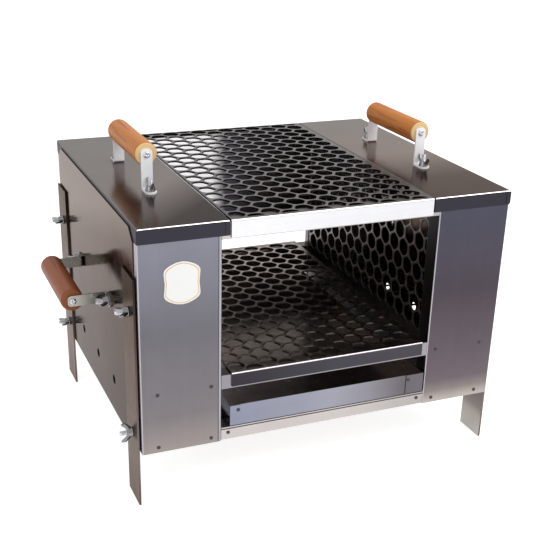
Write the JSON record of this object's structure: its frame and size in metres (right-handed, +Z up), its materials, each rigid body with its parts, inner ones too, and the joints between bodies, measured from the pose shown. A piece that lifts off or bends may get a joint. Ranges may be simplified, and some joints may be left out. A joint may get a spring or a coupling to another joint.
{
  "type": "portable charcoal grill",
  "caption": "Knock-down stainless charcoal grill with side fire towers, removable grills, a pull-out drip tray, wooden grips and strip legs.",
  "frame": {"origin": "middle of the plan, level with the lower ends of the legs", "axes": "+Z up, -Y the front with the drip tray's pull side, +X to the right seen from the front"},
  "size_m": [0.595, 0.4084, 0.4122],
  "materials": {
    "brushed_panel": "brushed, satin",
    "lid_steel": "mill finish, half mirror",
    "leg_steel": "satin",
    "punched_steel": "satin, slightly oiled",
    "rail_steel": "satin",
    "tray_steel": "satin",
    "zinc": "bright zinc plate",
    "rivet_steel": "satin",
    "wood": "clear lacquer",
    "label_enamel": "gloss white, plain"
  },
  "bodies": {
    "root": {"left_front_panel": "brushed_panel", "left_front_leg": "leg_steel", "left_rear_panel": "brushed_panel", "left_rear_leg": "leg_steel", "left_side_panel": "brushed_panel", "left_mesh_wall": "punched_steel", "left_coal_grate": "punched_steel", "left_ash_floor": "rail_steel", "left_side_grip": "wood", "left_side_straps": "zinc", "left_side_fasteners": "zinc", "right_front_panel": "brushed_panel", "right_front_leg": "leg_steel", "right_rear_panel": "brushed_panel", "right_rear_leg": "leg_steel", "right_side_panel": "brushed_panel", "right_mesh_wall": "punched_steel", "right_coal_grate": "punched_steel", "right_ash_floor": "rail_steel", "right_side_grip": "wood", "right_side_straps": "zinc", "right_side_fasteners": "zinc", "top_front_rail": "rail_steel", "top_rear_rail": "rail_steel", "middle_front_rail": "rail_steel", "middle_rear_rail": "rail_steel", "bottom_front_rail": "rail_steel", "bottom_rear_rail": "rail_steel", "tray_runners": "rail_steel", "label_plate": "label_enamel", "leg_bolts": "zinc", "panel_rivets": "rivet_steel"},
    "left_lid": {"left_lid": "lid_steel", "left_lid_grip": "wood", "left_lid_straps": "zinc", "left_lid_fasteners": "zinc"},
    "right_lid": {"right_lid": "lid_steel", "right_lid_grip": "wood", "right_lid_straps": "zinc", "right_lid_fasteners": "zinc"},
    "top_grill": {"top_grill": "punched_steel"},
    "lower_grill": {"lower_grill": "punched_steel"},
    "drip_tray": {"drip_tray": "tray_steel", "tray_rivets": "rivet_steel"},
    "left_lid_front_wing_nut": {"left_lid_front_wing_nut": "zinc"},
    "left_side_front_wing_nut": {"left_side_front_wing_nut": "zinc"},
    "left_front_upper_wing_nut": {"left_front_upper_wing_nut": "zinc"},
    "left_front_lower_wing_nut": {"left_front_lower_wing_nut": "zinc"},
    "left_lid_rear_wing_nut": {"left_lid_rear_wing_nut": "zinc"},
    "left_side_rear_wing_nut": {"left_side_rear_wing_nut": "zinc"},
    "left_rear_upper_wing_nut": {"left_rear_upper_wing_nut": "zinc"},
    "left_rear_lower_wing_nut": {"left_rear_lower_wing_nut": "zinc"},
    "right_lid_front_wing_nut": {"right_lid_front_wing_nut": "zinc"},
    "right_side_front_wing_nut": {"right_side_front_wing_nut": "zinc"},
    "right_front_upper_wing_nut": {"right_front_upper_wing_nut": "zinc"},
    "right_front_lower_wing_nut": {"right_front_lower_wing_nut": "zinc"},
    "right_lid_rear_wing_nut": {"right_lid_rear_wing_nut": "zinc"},
    "right_side_rear_wing_nut": {"right_side_rear_wing_nut": "zinc"},
    "right_rear_upper_wing_nut": {"right_rear_upper_wing_nut": "zinc"},
    "right_rear_lower_wing_nut": {"right_rear_lower_wing_nut": "zinc"}
  },
  "joints": [
    {"name": "left_lid_lift", "type": "slide", "parent": "root", "child": "left_lid", "axis": [0, 0, 1], "range_m": [0, 0.06]},
    {"name": "right_lid_lift", "type": "slide", "parent": "root", "child": "right_lid", "axis": [0, 0, 1], "range_m": [0, 0.06]},
    {"name": "top_grill_lift", "type": "slide", "parent": "root", "child": "top_grill", "axis": [0, 0, 1], "range_m": [0, 0.06]},
    {"name": "lower_grill_lift", "type": "slide", "parent": "root", "child": "lower_grill", "axis": [0, 0, 1], "range_m": [0, 0.06]},
    {"name": "drip_tray_pull", "type": "slide", "parent": "root", "child": "drip_tray", "axis": [0, -1, 0], "range_m": [0, 0.38]},
    {"name": "left_lid_front_nut_turn", "type": "hinge", "parent": "left_lid", "child": "left_lid_front_wing_nut", "pos_m": [-0.186, -0.079, 0.3578], "axis": [0, 0, 1], "continuous": true},
    {"name": "left_side_front_nut_turn", "type": "hinge", "parent": "root", "child": "left_side_front_wing_nut", "pos_m": [-0.2431, -0.079, 0.2235], "axis": [-1, 0, 0], "continuous": true},
    {"name": "left_front_upper_nut_turn", "type": "hinge", "parent": "root", "child": "left_front_upper_wing_nut", "pos_m": [-0.2431, -0.173, 0.248], "axis": [-1, 0, 0], "continuous": true},
    {"name": "left_front_lower_nut_turn", "type": "hinge", "parent": "root", "child": "left_front_lower_wing_nut", "pos_m": [-0.2431, -0.173, 0.091], "axis": [-1, 0, 0], "continuous": true},
    {"name": "left_lid_rear_nut_turn", "type": "hinge", "parent": "left_lid", "child": "left_lid_rear_wing_nut", "pos_m": [-0.186, 0.079, 0.3578], "axis": [0, 0, 1], "continuous": true},
    {"name": "left_side_rear_nut_turn", "type": "hinge", "parent": "root", "child": "left_side_rear_wing_nut", "pos_m": [-0.2431, 0.079, 0.2235], "axis": [-1, 0, 0], "continuous": true},
    {"name": "left_rear_upper_nut_turn", "type": "hinge", "parent": "root", "child": "left_rear_upper_wing_nut", "pos_m": [-0.2431, 0.173, 0.248], "axis": [-1, 0, 0], "continuous": true},
    {"name": "left_rear_lower_nut_turn", "type": "hinge", "parent": "root", "child": "left_rear_lower_wing_nut", "pos_m": [-0.2431, 0.173, 0.091], "axis": [-1, 0, 0], "continuous": true},
    {"name": "right_lid_front_nut_turn", "type": "hinge", "parent": "right_lid", "child": "right_lid_front_wing_nut", "pos_m": [0.186, -0.079, 0.3578], "axis": [0, 0, 1], "continuous": true},
    {"name": "right_side_front_nut_turn", "type": "hinge", "parent": "root", "child": "right_side_front_wing_nut", "pos_m": [0.2431, -0.079, 0.2235], "axis": [1, 0, 0], "continuous": true},
    {"name": "right_front_upper_nut_turn", "type": "hinge", "parent": "root", "child": "right_front_upper_wing_nut", "pos_m": [0.2431, -0.173, 0.248], "axis": [1, 0, 0], "continuous": true},
    {"name": "right_front_lower_nut_turn", "type": "hinge", "parent": "root", "child": "right_front_lower_wing_nut", "pos_m": [0.2431, -0.173, 0.091], "axis": [1, 0, 0], "continuous": true},
    {"name": "right_lid_rear_nut_turn", "type": "hinge", "parent": "right_lid", "child": "right_lid_rear_wing_nut", "pos_m": [0.186, 0.079, 0.3578], "axis": [0, 0, 1], "continuous": true},
    {"name": "right_side_rear_nut_turn", "type": "hinge", "parent": "root", "child": "right_side_rear_wing_nut", "pos_m": [0.2431, 0.079, 0.2235], "axis": [1, 0, 0], "continuous": true},
    {"name": "right_rear_upper_nut_turn", "type": "hinge", "parent": "root", "child": "right_rear_upper_wing_nut", "pos_m": [0.2431, 0.173, 0.248], "axis": [1, 0, 0], "continuous": true},
    {"name": "right_rear_lower_nut_turn", "type": "hinge", "parent": "root", "child": "right_rear_lower_wing_nut", "pos_m": [0.2431, 0.173, 0.091], "axis": [1, 0, 0], "continuous": true}
  ]
}
